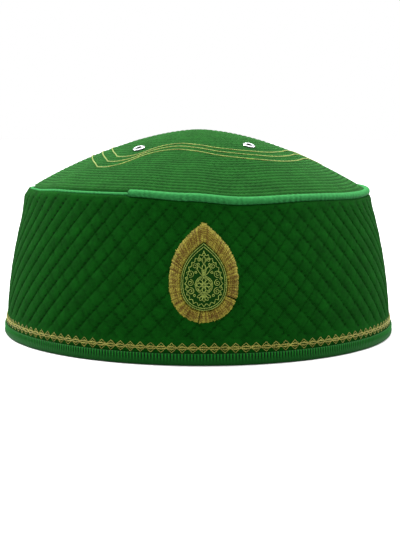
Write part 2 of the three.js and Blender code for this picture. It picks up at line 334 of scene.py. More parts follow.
def brushed_polyester(name, lit, shade, sheen, glance, quilted=False):
    material, tree, shader = new_finish(name)
    metres = node(tree, "UVMap", uv_map="metres")
    threads = node(tree, "VectorMath", {0: metres, "Scale": math.tau / WEAVE_DRAWN}, "SCALE")
    axes = node(tree, "SeparateXYZ", {0: threads})
    warp = node(tree, "Math", {0: axes.outputs["X"]}, "SINE")
    weft = node(tree, "Math", {0: axes.outputs["Y"]}, "SINE")
    weave = node(tree, "Math", {0: warp, 1: weft}, "MULTIPLY")
    nap = node(tree, "TexNoise",
               {"Vector": metres, "Scale": 1 / NAP_PATCH, "Detail": 6.0, "Roughness": 0.65})
    fuzz = node(tree, "TexNoise", {"Vector": metres, "Scale": 0.6 / WEAVE_DRAWN, "Detail": 3.0})
    mottle = node(tree, "Math", {0: fuzz, 1: 0.45, 2: nap}, "MULTIPLY_ADD")
    patch = node(tree, "MapRange",
                 {"Value": mottle, "From Min": 0.5, "From Max": 0.95, "To Min": 0.68, "To Max": 1.32})
    light = node(tree, "Math", {0: weave, 1: 0.06, 2: patch}, "MULTIPLY_ADD")
    toned = node(tree, "VectorMath", {0: linear(lit)[:3], "Scale": light}, "SCALE")
    groove = node(tree, "Attribute", attribute_name="groove")
    # Painted shade: the grooves and the needle holes darken the colour towards the shade colour.
    holes = needle_hole_shade(tree, metres) if quilted else 0.0
    depth = node(tree, "Math", {0: holes, 1: 1.0, 2: groove.outputs["Fac"]},
                 "MULTIPLY_ADD", use_clamp=True)
    colour = node(tree, "Mix", {0: depth, 6: toned, 7: linear(shade)}, data_type="RGBA")
    height = node(tree, "Math", {0: fuzz, 1: 1.6, 2: weave}, "MULTIPLY_ADD")
    bump = node(tree, "Bump", {"Height": height, "Strength": 0.4, "Distance": 0.12 * MM})
    plug(shader, {"Base Color": colour.outputs[2], "Normal": bump, "Roughness": 0.92,
                  "Specular IOR Level": 0.02, "Sheen Weight": sheen, "Sheen Roughness": 0.4,
                  "Sheen Tint": linear(glance)})
    return material


# Band and crown are the same cloth, but the crown's colour is painted lighter than the band's: painted
# light, for the overhead light that falls on the crown and not on the band's side.
band_cloth = brushed_polyester("brushed_polyester_band", "#053206", "#011301", 0.045, "#4a9d46",
                               quilted=True)
crown_cloth = brushed_polyester("brushed_polyester_crown", "#103b10", "#041404", 0.22, "#6dbd6b")
cloth_inside = brushed_polyester("brushed_polyester_inside", "#0e3a10", "#041606", 0.08, "#62bd69")

# %% [markdown]
# Sewing thread is spun polyester: two or three strands twisted together, smoother than the cloth.
# Its colour is painted a little lighter than the cloth's, as painted sheen. The twist repeats each
# 0.6 mm and is drawn at 0.9 mm. Embroidery thread is filament rayon, a soft gold with no metal in
# it. It dyes unevenly, so its colour runs between straw and orange gold.

# %% Threads: spun polyester and gold rayon
TWIST_DRAWN = 0.9 * MM


def twisted_thread(name, light, dark, roughness, gloss, patch):
    material, tree, shader = new_finish(name)
    metres = node(tree, "UVMap", uv_map="metres")
    axes = node(tree, "SeparateXYZ", {0: metres})
    slant = node(tree, "Math", {0: axes.outputs["Y"], 1: 1.5, 2: axes.outputs["X"]}, "MULTIPLY_ADD")
    turns = node(tree, "Math", {0: slant, 1: math.tau / TWIST_DRAWN}, "MULTIPLY")
    twist = node(tree, "Math", {0: turns}, "SINE")
    place = node(tree, "TexCoord")
    dye = node(tree, "TexNoise",
               {"Vector": place.outputs["Object"], "Scale": 1 / patch, "Detail": 4.0, "Roughness": 0.65})
    mix = node(tree, "Math", {0: twist, 1: 0.12, 2: dye}, "MULTIPLY_ADD")
    share = node(tree, "MapRange", {"Value": mix, "From Min": 0.3, "From Max": 0.72})
    # The shade value lightens a thread below zero and darkens it above: random dye, and on the border also
    # painted highlight at the edges.
    uneven = node(tree, "Attribute", attribute_name="shade")
    toned = node(tree, "Math", {0: share, 1: uneven.outputs["Fac"]}, "SUBTRACT", use_clamp=True)
    colour = node(tree, "Mix", {0: toned, 6: linear(dark), 7: linear(light)}, data_type="RGBA")
    bump = node(tree, "Bump", {"Height": twist, "Strength": 0.5, "Distance": 0.05 * MM})
    plug(shader, {"Base Color": colour.outputs[2], "Normal": bump, "Roughness": roughness,
                  "Specular IOR Level": gloss})
    return material


quilting_thread = twisted_thread("spun_polyester_thread", "#083808", "#031c03", 0.9, 0.0, 3 * MM)
crown_thread = twisted_thread("spun_polyester_thread_crown", "#174a18", "#0a2c0b", 0.8, 0.03, 3 * MM)
gold_thread = twisted_thread("gold_rayon_thread", "#867f2c", "#463205", 0.5, 0.12, 0.9 * MM)
trim_thread = twisted_thread("pale_gold_rayon_thread", "#908c40", "#514f1c", 0.5, 0.12, 2 * MM)
straw_thread = twisted_thread("straw_rayon_thread", "#7c8a3e", "#48561f", 0.5, 0.12, 2 * MM)

# %% [markdown]
# The band is quilted on a multi-needle machine: two sets of straight lines cross at about 48
# degrees. Each diamond between them is a small pillow, and each line a groove that the stitches
# pull in, deepest at the needle holes. The grid has ten points to a diamond both ways, so each
# groove runs through grid points and stays crisp. Real quilting wanders, so a smooth uneven value
# shifts the pattern. The rising lines are cut deeper and painted darker at the left, and the
# falling ones at the right: painted shade that stands in for light raking along the band from
# above and behind. The top edge rolls out under the cord. Below the pillows a plain strip carries
# the gold trim. The grid turns over the top edge and comes down inside as one closed wall.

# %% The quilted band
DIAMOND_STEPS = 10
GROOVE_DEPTH = 0.4 * MM
PILLOW = 0.2 * MM
GROOVE_HALF = 0.6 * MM
PILLOW_EDGE = 1.8 * MM
LINE_GAP = 6 * MM
HOLE_DEPTH = 0.2 * MM
TOP_EDGE = 0.8 * MM
TOP_ROLL = 0.35 * MM
LEFT_ROLL = 1.1 * MM
JOINT_TURN = math.radians(-21.5)
THIN_END = math.radians(-125)
WANDER = 0.22 * MM
TUCK_IN = 0.5 * MM
TUCK_RISE = 0.7 * MM
DRAWN_RISE = 0.5 * MM
LINE_DEPTH = 0.46
SIDE_DEPTH = 0.56
SIDE_LIMIT = 0.8
GROOVE_SHADE = 0.6
BAND_UNEVEN = 0.12 * MM


def round_steps(count):
    """Azimuths that divide the round into equal steps."""
    return np.arange(count) * math.tau / count


def hill(value, middle, half):
    """1 at the middle, falling off smoothly to both sides."""
    return np.exp(-((value - middle) / half) ** 2)


def to_line(share):
    """How far a place is from the nearest line of its set, in metres."""
    return np.abs(share - np.round(share)) * LINE_GAP


def left_side(azimuth):
    """1 at the cap's left side, where the band's upper edge rolls out, and 0 elsewhere."""
    return hill(azimuth % math.tau, 1.5 * math.pi, 0.6)


def drawn_in(azimuth):
    """1 where the seam has drawn the cord in, from its joint round to the left side, and 0
    elsewhere. The azimuth runs from minus half a turn to half a turn."""
    past_joint = ease(azimuth, JOINT_TURN - 0.006, JOINT_TURN + 0.004)
    return ease(azimuth, THIN_END, THIN_END + 0.5) * (1 - past_joint)


def line_depths(azimuth):
    """How deep the rising and the falling lines are: the rising ones bite deeper on the left side
    and the falling ones on the right, and both are shallow at the front and the back."""
    side = np.sin(azimuth) * np.abs(np.sin(azimuth))
    rising = LINE_DEPTH - SIDE_DEPTH * np.minimum(side, SIDE_LIMIT)
    return rising, LINE_DEPTH + SIDE_DEPTH * np.maximum(side, -SIDE_LIMIT)


def line_inside(piece, faces):
    """Gives a wall's inner faces the plainer cloth."""
    piece.data.materials.append(cloth_inside)
    piece.data.polygons.foreach_set("material_index", faces.astype(np.int32))


def quilt(azimuth, height, holes=0.0):
    """The relief of the quilting, and how much of a groove each place is, from 0 to 1."""
    around = azimuth * DIAMONDS / math.tau
    up = height / DIAMOND_HEIGHT
    rising = to_line(around - up)
    falling = to_line(around + up)
    rising_depth, falling_depth = line_depths(azimuth)
    pillow = 1 - rising_depth * hill(rising, 0, PILLOW_EDGE)
    pillow = pillow * (1 - falling_depth * hill(falling, 0, PILLOW_EDGE))
    groove = np.maximum(rising_depth * hill(rising, 0, GROOVE_HALF),
                        falling_depth * hill(falling, 0, GROOVE_HALF))
    fade = ease(height, QUILT_BOTTOM - 1.5 * MM, QUILT_BOTTOM + 1 * MM)
    fade = fade * (1 - ease(height, BAND_HEIGHT - 2 * TOP_EDGE, BAND_HEIGHT - TOP_EDGE / 2))
    relief = (PILLOW * (pillow - 1) - GROOVE_DEPTH * groove - HOLE_DEPTH * holes) * fade
    patchy = np.clip(0.6 + 0.8 * wobble(5 * azimuth, height, 6, 14 * MM), 0.1, 1.1)
    return relief, GROOVE_SHADE * groove * fade * patchy


columns = DIAMONDS * DIAMOND_STEPS
step_up = DIAMOND_HEIGHT / DIAMOND_STEPS
band_rows = np.append(np.arange(BAND_BOTTOM, BAND_HEIGHT - step_up / 2, step_up), BAND_HEIGHT)
band_rows = np.round(band_rows / step_up) * step_up
band_rows[[0, -1]] = BAND_BOTTOM, BAND_HEIGHT
azimuths = round_steps(columns)
turn, level = np.meshgrid(azimuths, band_rows)

# A needle goes through at every second row, where a line of either set crosses it
grid_row = np.round(level / step_up).astype(int)
on_rising = (np.arange(columns) - grid_row) % DIAMOND_STEPS == 0
on_falling = (np.arange(columns) + grid_row) % DIAMOND_STEPS == 0
pierced = (on_rising | on_falling) & (grid_row % 2 == 0)

relief, groove = quilt(turn, level, pierced)
uneven = BAND_UNEVEN * wobble(turn, level, 3) * ease(level, QUILT_BOTTOM, BAND_HEIGHT / 3)
uneven = uneven + TOP_ROLL * hill(level, BAND_HEIGHT - 1.6 * MM, 1.8 * MM)
uneven = uneven + LEFT_ROLL * left_side(turn) * hill(level, BAND_HEIGHT - 3 * MM, 5 * MM)
wander = WANDER / BASE_RADIUS * wobble(turn, level, 4)
outer, _ = on_band(turn + wander, level, relief + uneven)

# The cloth's top edge is turned in under the cord, and rises where the seam has drawn the cord in
drawn = drawn_in(azimuths - math.tau * (azimuths > math.pi))
rise = TUCK_RISE + DRAWN_RISE * drawn + LEFT_ROLL * left_side(azimuths)
tucked = on_round(azimuths, BAND_TOP_RADIUS - TUCK_IN, BAND_HEIGHT + rise + rim_wave(azimuths))
outer = np.concatenate([outer, tucked[None]])
groove = np.concatenate([groove, groove[-1:]])

inner_rows = np.linspace(BAND_HEIGHT, BAND_BOTTOM, 31)
turn_in, level_in = np.meshgrid(azimuths, inner_rows)
relief_in, groove_in = quilt(turn_in, level_in)
inner, _ = on_band(turn_in, level_in, -BAND_WALL - 0.35 * relief_in)

band_points = np.concatenate([outer, inner, outer[:1]])
band_groove = np.concatenate([groove, 0.6 * groove_in, groove[:1]])
band_across = np.append(azimuths, math.tau) * FOOT_RADIUS
band_along = np.concatenate([band_rows, [BAND_HEIGHT + 1 * MM],
                             BAND_HEIGHT + BAND_WALL + (BAND_HEIGHT - inner_rows), [0]])
# The line depths also weight the needle holes' painted shade, set per side for the raking light.
rising_depth, falling_depth = line_depths(azimuths)
above_trim = ease(band_rows, QUILT_BOTTOM, QUILT_BOTTOM + 1 * MM)
above_trim = np.append(above_trim, np.zeros(len(inner) + 2))[:, None]
band = grid_piece("band_quilted", band_points, band_across, band_along[:, None], band_cloth,
                  {"groove": band_groove, "rising": rising_depth * above_trim,
                   "falling": falling_depth * above_trim})
line_inside(band, np.repeat(np.arange(len(band_points) - 1) >= len(outer) - 1, columns))
dress(band, "quilted_cloth", "band")

# %% [markdown]
# Each stitch is a short loop of thread between two needle holes, highest in its middle. Stitches
# drawn in the cloth's material would do from afar, but as strands they catch the light one by
# one. There are thousands, so they are one mesh, and each is half a round thread, because its
# underside lies in the cloth.

# %% Stitches of the band
STITCH_THREAD = 0.16 * MM
STITCH_SINK = 0.62 * MM
STITCH_RISE = 0.38 * MM


def stitch_paths(surface, starts, ends, sink, rise):
    """Paths from one pair of surface coordinates to the next, four points to a stitch."""
    starts, ends = np.array([starts, ends])[..., None]
    one, two = starts + (ends - starts) * np.array([0.08, 0.36, 0.64, 0.92])
    return surface(one, two, -sink + rise * np.array([0, 0.9, 0.9, 0]))


def band_surface(azimuth, height, out):
    return on_band(azimuth + WANDER / BASE_RADIUS * wobble(azimuth, height, 4), height, out)


turn_step = math.tau / columns
lowest = int(math.ceil(QUILT_BOTTOM / (2 * step_up))) * 2
every_row = np.arange(lowest, int(BAND_HEIGHT / step_up) - 1, 2)
line, lean, row = np.meshgrid(np.arange(DIAMONDS), (1, -1), every_row, indexing="ij")
column = line * DIAMOND_STEPS + lean * row
starts = np.stack([column * turn_step, row * step_up]).reshape(2, -1)
ends = np.stack([(column + 2 * lean) * turn_step, (row + 2) * step_up]).reshape(2, -1)
paths, outs = stitch_paths(band_surface, starts, ends, STITCH_SINK, STITCH_RISE)
band_stitches = strands("band_stitches", paths, outs, STITCH_THREAD, quilting_thread)
dress(band_stitches, "quilted_cloth")

# %% [markdown]
# The crown is stitched in rings 2.4 mm apart, so close that the cloth between them stands up in
# low ribs. They lie evenly along the slope, not along the radius, so the slope's length is summed
# up first and read back. The eyelets are pressed through, so the faces under them are left out.

# %% The ringed crown
ROW_GAP = 2.4 * MM
ROW_STEPS = 6
ROW_GROOVE = 0.19 * MM
ROW_RIB = 0.07 * MM
ROW_HALF = 0.42 * MM
ROW_WANDER = 0.12 * MM
CROWN_UNEVEN = 0.15 * MM
CROWN_MIDDLE = 0.5 * MM
CROWN_COLUMNS = 384
EYELET_RING = 39 * MM
EYELET_CUT = 1.9 * MM

# Each eyelet's azimuth in degrees, and its reach as a share of the ring's radius
EYELET_SEATS = np.array([(38.5, 0.95), (138, 1.0), (-138, 1.0), (-42, 1.06)])

radii = np.linspace(0, CROWN_RADIUS, 600)
slope_length = np.concatenate([[0], np.cumsum(np.diff(radii) * np.hypot(1, crown_slope(radii[1:])))])
SLOPE = slope_length[-1]


def radius_at(length):
    return np.interp(length, slope_length, radii)


def row_shift(azimuth):
    return ROW_WANDER * wobble(azimuth, 0, 9)


def crown_relief(azimuth, length):
    row = (SLOPE - length + row_shift(azimuth)) / ROW_GAP - 0.4
    off = np.abs(row - np.round(row)) * ROW_GAP
    groove = hill(off, 0, ROW_HALF)
    rib = ROW_RIB * np.cos(math.pi * (off / ROW_GAP - 0.5))
    fade = ease(length, 1 * MM, 3 * MM)

    # Dashes along each row, fewer in the smaller rings and shifted from row to row. The second value
    # returned is painted shade: dark in the grooves between the ribs and darker at the dashes, which
    # stand in for the shade at the needle holes
    stitches = CROWN_COLUMNS / 2 ** np.round(1 + np.log2(SLOPE / np.maximum(length, 4 * MM)))
    dash = np.cos(stitches * azimuth + 2.4 * np.round(row) ** 2)
    patchy = 0.75 + 0.35 * wobble(azimuth, length, 14, 9 * MM)
    return (rib - ROW_GROOVE * groove) * fade, np.clip(groove * (0.7 + 0.42 * dash) * patchy, 0, 1) * fade


eyelet_seats, eyelet_ways = on_crown(np.radians(EYELET_SEATS[:, 0]), EYELET_RING * EYELET_SEATS[:, 1])


def clear_of_eyelets(points):
    kept = np.ones(len(points), bool)
    for seat, way in zip(eyelet_seats, eyelet_ways):
        kept &= np.linalg.norm(np.cross(points - seat, way), axis=1) > EYELET_CUT
    return kept


def crown_uneven(azimuth, length):
    return CROWN_UNEVEN * wobble(azimuth, length, 12)


lengths = np.linspace(CROWN_MIDDLE, SLOPE, int(round(SLOPE / ROW_GAP * ROW_STEPS)))[::-1]
crown_turns = round_steps(CROWN_COLUMNS)
turn, length = np.meshgrid(crown_turns, lengths)
relief, groove = crown_relief(turn, length)
top, _ = on_crown(turn, radius_at(length), relief + crown_uneven(turn, length))

inner_lengths = np.linspace(CROWN_MIDDLE, SLOPE - 1.6 * CROWN_WALL, 32)
turn_in, length_in = np.meshgrid(crown_turns, inner_lengths)
relief_in, groove_in = crown_relief(turn_in, length_in)
under, _ = on_crown(turn_in, radius_at(length_in), -CROWN_WALL - 0.3 * relief_in)

edge_radii = np.array([[CROWN_RADIUS - CROWN_WALL], [CROWN_RADIUS + CLEARANCE]])
edge = on_round(crown_turns, edge_radii, BAND_HEIGHT + rim_wave(crown_turns))
crown_points = np.concatenate([under, edge, top])
# The inside takes half the grooves' painted shade, and the two edge rows under the cord a middling painted
# shade.
crown_groove = np.concatenate([0.5 * groove_in, np.full((2, CROWN_COLUMNS), 0.5), groove])
closing = np.concatenate([crown_points, crown_points[:, :1]], 1)
crown = grid_piece("crown_ringed", crown_points, closing[..., 0], closing[..., 1], crown_cloth,
                   {"groove": crown_groove}, keep=clear_of_eyelets)
middles = np.empty(3 * len(crown.data.polygons))
crown.data.polygons.foreach_get("center", middles)
x, y, z = middles.reshape(-1, 3).T
halfway = crown_height(np.minimum(np.hypot(x, y), CROWN_RADIUS)) - 2 * CROWN_WALL / 3 - RIM_WAVE / 2
line_inside(crown, z < halfway)
dress(crown, "quilted_cloth", "crown")

# %% Stitches of the crown
CROWN_STITCH = 2.7 * MM
CROWN_THREAD = 0.15 * MM
CROWN_SINK = 0.42 * MM
CROWN_STITCH_RISE = 0.32 * MM
row_lengths = SLOPE - ROW_GAP * (np.arange(1, int(SLOPE / ROW_GAP)) + 0.4)
rows = []
for length in row_lengths[row_lengths > 3 * MM]:
    count = max(6, int(round(math.tau * radius_at(length) / CROWN_STITCH)))
    turns = rng.uniform(0, math.tau) + round_steps(count)
    rows.append(np.stack([turns, turns + 0.86 * math.tau / count, np.full(count, length)]))
start, end, length = np.concatenate(rows, 1)


def crown_surface(azimuth, length, out):
    return on_crown(azimuth, radius_at(length + row_shift(azimuth)), out)


paths, outs = stitch_paths(crown_surface, (start, length), (end, length), CROWN_SINK, CROWN_STITCH_RISE)
clear = clear_of_eyelets(paths.mean(1))
crown_stitches = strands("crown_stitches", paths[clear], outs[clear], CROWN_THREAD, crown_thread)
dress(crown_stitches, "quilted_cloth")

# %% [markdown]
# The cord in the seam is cotton string covered with a bias strip of satin. Satin floats its
# threads on the surface, so it is brighter than the cloth, and on the bias it puckers into fine
# slanted wrinkles. Worn satin has lost its gloss, so it is nearly matt. The ends overlap at the
# left of the front, where a nick shows, and from there round to the left side the seam has drawn
# the cord in thinner.

# %% Satin: woven polyester filament
# Real satin has about three floats to the mm. It is drawn coarser, with 0.7 to the mm along the
# cord and 0.9 round it.
satin, tree, shader = new_finish("green_polyester_satin")
metres = node(tree, "UVMap", uv_map="metres")
stretched = node(tree, "VectorMath", {0: metres, 1: (0.7 / MM, 0.9 / MM, 1)}, "MULTIPLY")
floats = node(tree, "TexNoise", {"Vector": stretched, "Scale": 1.0, "Detail": 5.0, "Roughness": 0.7})
# The cord's painted shade, kept at its points, darkens the colour.
cord_shade = node(tree, "Attribute", attribute_name="groove")
share = node(tree, "Math", {0: floats, 1: 1.8, 2: cord_shade.outputs["Fac"]}, "MULTIPLY_ADD")
tone = node(tree, "MapRange", {"Value": share, "From Min": 0.7, "From Max": 2.0})
colour = node(tree, "Mix", {0: tone, 6: linear("#2b723a"), 7: linear("#082a0e")}, data_type="RGBA")
bump = node(tree, "Bump", {"Height": floats, "Strength": 0.3, "Distance": 0.15 * MM})
plug(shader, {"Base Color": colour.outputs[2], "Normal": bump, "Roughness": 0.6,
              "Specular IOR Level": 0.02, "Anisotropic": 0.3})

# %% The satin piping
PIPING_COLUMNS = 1080
PIPING_SIDES = 16
PIPING_RING = CROWN_RADIUS + CLEARANCE + PIPING_RADIUS
PIPING_LEVEL = BAND_HEIGHT + CLEARANCE + PIPING_RADIUS
THIN_SHARE = 0.5
CORD_SHARE = 0.92
CORD_INWARDS = 0.3 * MM
THIN_DROP = 0.5 * MM
FRONT_SWELL = 0.3 * MM
PUCKER = 0.05 * MM
CORD_UNEVEN = 0.08 * MM
WRINKLES = 210

turns = round_steps(PIPING_COLUMNS) - math.pi
around = np.linspace(0, math.tau, PIPING_SIDES + 1)
turn, angle = np.meshgrid(turns, around)
thin = drawn_in(turn)
nick = hill(turn, JOINT_TURN, 0.009)
wrinkle = np.sin(WRINKLES * turn + 2.2 * angle + 6 * wobble(turn, 0, 21))
wrinkle = wrinkle * (0.5 + wobble(3 * turn, 1 * MM * angle, 22))
radius = PIPING_RADIUS * CORD_SHARE * (1 - (1 - THIN_SHARE) * thin - 0.1 * nick) + PUCKER * wrinkle
radius = radius + CORD_UNEVEN * wobble(turn, 0, 23) + FRONT_SWELL * hill(turn, 0.1, 0.3)
sunk = CORD_INWARDS * (1 + thin)
place = on_round(turn, PIPING_RING - sunk + radius * np.cos(angle),
                 PIPING_LEVEL - THIN_DROP * thin + radius * np.sin(angle) + rim_wave(turn))
# Painted shade: the cord is painted darker in the folds of its wrinkles, at the nick and on its underside,
# and lighter on top.
cord_shade_share = np.clip(0.25 - 0.3 * wrinkle + 0.5 * nick - 0.45 * np.sin(angle), 0, 1)
piping = grid_piece("piping_satin", place, np.append(turns, math.pi) * PIPING_RING,
                    around[:, None] * PIPING_RADIUS, satin, {"groove": cord_shade_share})
dress(piping, "satin_cord", "piping")

# %% [markdown]
# The lower edge is bound with a knitted tape folded round it. Its wales stand up as small ribs
# 1.38 mm apart, clearest on the upper half, and the fold below is rounder and plainer. The section
# is the tape's own path: down the outside, under the edge and up the inside. The ribs are a wave
# along each row, faded by the row's place.

# %% Knitted tape
# The loops are about 0.4 mm apart, and drawn at twice that
LOOP_DRAWN = 0.8 * MM
tape, tree, shader = new_finish("green_knitted_tape")
metres = node(tree, "UVMap", uv_map="metres")
loops = node(tree, "TexNoise", {"Vector": metres, "Scale": 1 / LOOP_DRAWN, "Detail": 3.0})
groove = node(tree, "Attribute", attribute_name="groove")
share = node(tree, "Math", {0: loops, 1: 0.35, 2: groove.outputs["Fac"]}, "MULTIPLY_ADD")
colour = node(tree, "Mix", {0: share, 6: linear("#0e5c16"), 7: linear("#010d02")}, data_type="RGBA")
bump = node(tree, "Bump", {"Height": loops, "Strength": 0.4, "Distance": 0.15 * MM})
plug(shader, {"Base Color": colour.outputs[2], "Normal": bump, "Roughness": 0.75,
              "Specular IOR Level": 0.05, "Sheen Weight": 0.06, "Sheen Tint": linear("#a6e8b4")})

# %% The ribbed binding
RIB_GAP = 1.38 * MM
RIB_STEPS = 5
RIB_HEIGHT = 0.36 * MM
RIBS = int(round(math.tau * BASE_RADIUS / RIB_GAP))

# The tape's path: radius and height in mm, and how strong the ribs are there
face, top, foot = BASE_RADIUS / MM, BINDING_HEIGHT / MM, FOOT_RADIUS / MM
inner = foot - (BAND_WALL + CLEARANCE) / MM - 1
middle = (face + inner) / 2
TAPE_PATH = np.array([
    (foot + 0.05, top - 0.5, 0), (face - 0.75, top - 0.1, 0.3), (face - 0.3, top - 0.2, 0.8),
    (face - 0.1, top - 0.8, 1), (face - 0.1, top - 1.7, 1), (face - 0.2, top - 2.5, 0.5),
    (face, 1.7, 0.1), (face - 0.1, 0.8, 0.05), (face - 0.6, 0.2, 0), (face - 1.4, 0, 0),
    (middle, 0, 0), (inner + 1.1, 0, 0), (inner + 0.3, 0.4, 0.2), (inner, 1.4, 0.5),
    (inner, 3.2, 0.8), (inner + 0.2, top - 0.3, 0.6),
    (foot - BAND_WALL / MM - 0.05, top - 0.3, 0),
]) * (MM, MM, 1)


def walked(line):
    """How far along a line each of its points lies."""
    return np.append(0, np.cumsum(np.linalg.norm(np.diff(line, axis=0), axis=-1)))


turns = round_steps(RIBS * RIB_STEPS)
rib = np.cos(RIBS * turns + 0.5 * wobble(turns, 0, 31))
reach, level, strength = TAPE_PATH.T[..., None]
push = RIB_HEIGHT * strength * (rib - 1) / 2 * np.sign(reach - middle * MM)
place = on_round(turns, reach + push, level)
# The groove value is painted shade: darker in the valleys between the ribs, and darker where the ribs
# fade, chiefly on the fold under the edge.
binding = grid_piece("binding_ribbed", place, np.append(turns, math.tau) * BASE_RADIUS,
                     walked(TAPE_PATH[:, :2])[:, None], tape,
                     {"groove": strength * (1 - rib) / 2 + 0.6 * (1 - strength) - 0.1})
dress(binding, "edge_binding", "rim_binding")

# %% [markdown]
# Above the binding runs a machine-embroidered trim: two zigzags of gold thread cross and leave a row
# of diamonds 4.47 mm long, a smaller pair crosses inside them, and two nearly straight threads run
# through the middle. It could be a texture strip, but its threads stand off the cloth and cast
# small shadows, so each is a strand swept once round the cap. Real ones aren't quite even, so
# each shakes a little.

# %% The gold zigzag trim
ZIGZAGS = 132
ZIGZAG_STEPS = 12
TRIM_LEVEL = 7.4 * MM
TRIM_SHAKE = 0.18

# Each thread's reach up or down at a tip, how far it stays off the middle, how high it lies off the
# cloth, and its radius, in mm
TRIM_THREADS = [(2.0, 0, 0.22, 0.12), (-2.0, 0, 0.28, 0.12), (0.75, 0.1, 0.34, 0.1),
                (-0.75, -0.1, 0.38, 0.1), (0.2, 0.22, 0.42, 0.15), (-0.2, -0.22, 0.46, 0.15)]

turns = round_steps(ZIGZAGS * ZIGZAG_STEPS)
share = (turns * ZIGZAGS / math.tau) % 1
tip = 1 - np.abs(2 * share - 1)
shaky = TRIM_SHAKE * np.stack([wobble(37 * turns, 0, 41 + number) for number in range(len(TRIM_THREADS))])
reach, off, out, radius = np.array(TRIM_THREADS).T[..., None]
place, way = on_band(turns, TRIM_LEVEL + (reach * tip + off + shaky) * MM, out * MM)
trim = strands("trim_zigzag", place, way, radius * MM, trim_thread, loop=True)
dress(trim, "gold_thread")

# %% [markdown]
# On the crown three nested gold lines draw a large arch that lies on its side, its foot to the
# left and its point to the right. It is stem stitch: short stitches laid end over end, so the
# line swells and thins like a cord. The outline is drawn flat, as a tailor chalks it, then
# dropped on the dome. Each inner line is the outer one, smaller about the same middle.

# %% The arch on the crown
ARCH_MIDDLE = np.array([3.0, 0.0])
ARCH_SIZES = np.array([1.0, 0.91, 0.825])[:, None, None]
ARCH_THREAD = 0.3 * MM
ARCH_STITCH = 2.3 * MM
ARCH_LIFT = 0.04 * MM
ARCH_STEP = 0.5

# The front half of the outer line in mm, from the foot's middle round to the point
ARCH_FOOT = np.array([(-51.5, 0), (-51, -12), (-49.3, -26), (-46, -42)])
ARCH_SIDE = np.array([(-46, -42), (-41.5, -45.8), (-36, -47), (-31.5, -45.6), (-25, -41.8), (-18, -39.9),
                      (-9, -40.3), (0, -43.6), (8, -46.1), (16, -46.4), (26, -44.8), (34, -41.2),
                      (41, -35.2), (46.3, -26.5), (49.8, -16.5), (53.5, -7.5), (60, 0)])


def spread(line, count, closed=False):
    """The same flat line as a number of evenly spread places."""
    far = walked(line)
    even = np.linspace(0, far[-1], count, endpoint=not closed)
    return np.stack([np.interp(even, far, line[:, axis]) for axis in (0, 1)], -1)


def rounded(points, step):
    """A smooth curve through the points, with places an even step apart."""
    ends = np.vstack([2 * points[0] - points[1], points, 2 * points[-1] - points[-2]])
    curve = []
    for before, here, after, beyond in zip(ends, ends[1:], ends[2:], ends[3:]):
        t = np.linspace(0, 1, 24, endpoint=False)[:, None]
        bend = 2 * here + (after - before) * t + (2 * before - 5 * here + 4 * after - beyond) * t ** 2
        curve.append((bend + (3 * here - before - 3 * after + beyond) * t ** 3) / 2)
    curve = np.vstack(curve + [points[-1:]])
    return spread(curve, int(round(walked(curve)[-1] / step)))


front_half = np.vstack([rounded(ARCH_FOOT, ARCH_STEP)[:-1], rounded(ARCH_SIDE, ARCH_STEP)])
back_half = front_half[::-1] * (1, -1)
arch = np.vstack([front_half, back_half[1:-1]])
x, y = np.moveaxis(ARCH_MIDDLE + (arch - ARCH_MIDDLE) * ARCH_SIZES, -1, 0) * MM
turn = np.arctan2(x, -y)
radius = np.hypot(x, y)
uneven = crown_uneven(turn, np.interp(radius, radii, slope_length))
place, way = on_crown(turn, radius, ARCH_LIFT + uneven)
far = np.arange(len(arch)) * ARCH_STEP * MM
swell = ARCH_THREAD * (0.72 + 0.4 * np.abs(np.sin(math.pi * far / ARCH_STITCH)))
arch_piece = strands("crown_arch", place, way, swell, straw_thread, loop=True)
dress(arch_piece, "gold_thread")

# %% [markdown]
# The front patch is a drop with a border in satin stitch: threads laid side by side across it, so
# it shines along them and its edges are slightly ragged. The border's two outlines are the same
# curve at two sizes, sampled at the same places, so a thread runs from each place on one to its
# partner on the other. Inside, fine threads draw a plain symmetrical pattern.

# %% The drop outline
PATCH_WIDTH = 29 * MM
PATCH_HEIGHT = 41 * MM
PATCH_LEVEL = 38.6 * MM
PATCH_TURN = math.radians(1.4)
BORDER_WIDTH = 4.6 * MM
BORDER_TIP = 8 * MM
INNER_WIDTH = PATCH_WIDTH - 2 * BORDER_WIDTH
INNER_HEIGHT = PATCH_HEIGHT - BORDER_TIP - BORDER_WIDTH
INNER_MIDDLE = (BORDER_WIDTH - BORDER_TIP) / 2

# Bezier stretches down the right side from the tip, as shares of width and height
DROP = [
    [(0, 0.5), (0.14, 0.41), (0.5, 0.27), (0.5, -0.11)],
    [(0.5, -0.11), (0.5, -0.36), (0.27, -0.5), (0, -0.5)],
]


def drop(width, height, middle, count):
    """The drop as count even places, clockwise from its tip."""
    t = np.linspace(0, 1, 200)[:, None]
    right = []
    for a, b, c, d in np.array(DROP):
        right.append(a * (1 - t) ** 3 + 3 * b * t * (1 - t) ** 2 + 3 * c * t * t * (1 - t) + d * t ** 3)
    right = np.vstack(right) * (width, height) + (0, middle)
    return spread(np.vstack([right, (right * (-1, 1))[::-1]]), count, closed=True)


def on_patch(flat, out):
    """A flat place on the patch, laid on the band."""
    height = PATCH_LEVEL + flat[..., 1]
    return on_band(PATCH_TURN + flat[..., 0] / band_radius(height), height, out)


